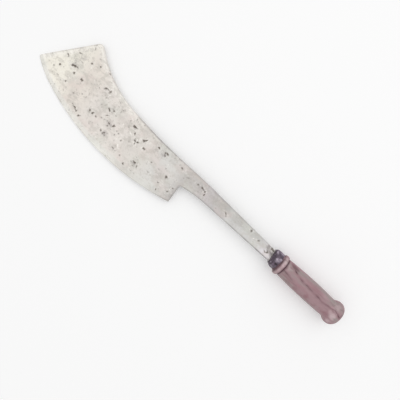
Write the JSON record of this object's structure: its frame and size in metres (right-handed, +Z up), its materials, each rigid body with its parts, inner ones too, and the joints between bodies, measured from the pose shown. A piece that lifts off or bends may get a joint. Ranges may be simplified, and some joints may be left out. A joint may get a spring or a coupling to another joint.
{
  "type": "billhook",
  "caption": "Long-necked billhook: broad blade with a convex ground edge, concave spine and straight slanted nose, flat neck, hexagonal collar and short turned wooden handle.",
  "frame": {"origin": "on the floor plane under the middle of the tool as it lies at rest", "axes": "+X along the tool from the butt to the nose, +Y towards the cutting edge, +Z up"},
  "size_m": [0.6327, 0.1298, 0.0411],
  "materials": {
    "blade_steel": "pale scoured steel, pitted and stained",
    "collar_iron": "dark purplish iron, worn bright on the ridges",
    "nail_iron": "blackened",
    "handle_wood": "dry, weathered, mauve brown, with drying cracks",
    "washer_iron": "dark, rusted"
  },
  "bodies": {
    "root": {"blade": "blade_steel", "collar": "collar_iron", "collar_nail": "nail_iron", "handle": "handle_wood", "butt_washer": "washer_iron"}
  },
  "joints": []
}
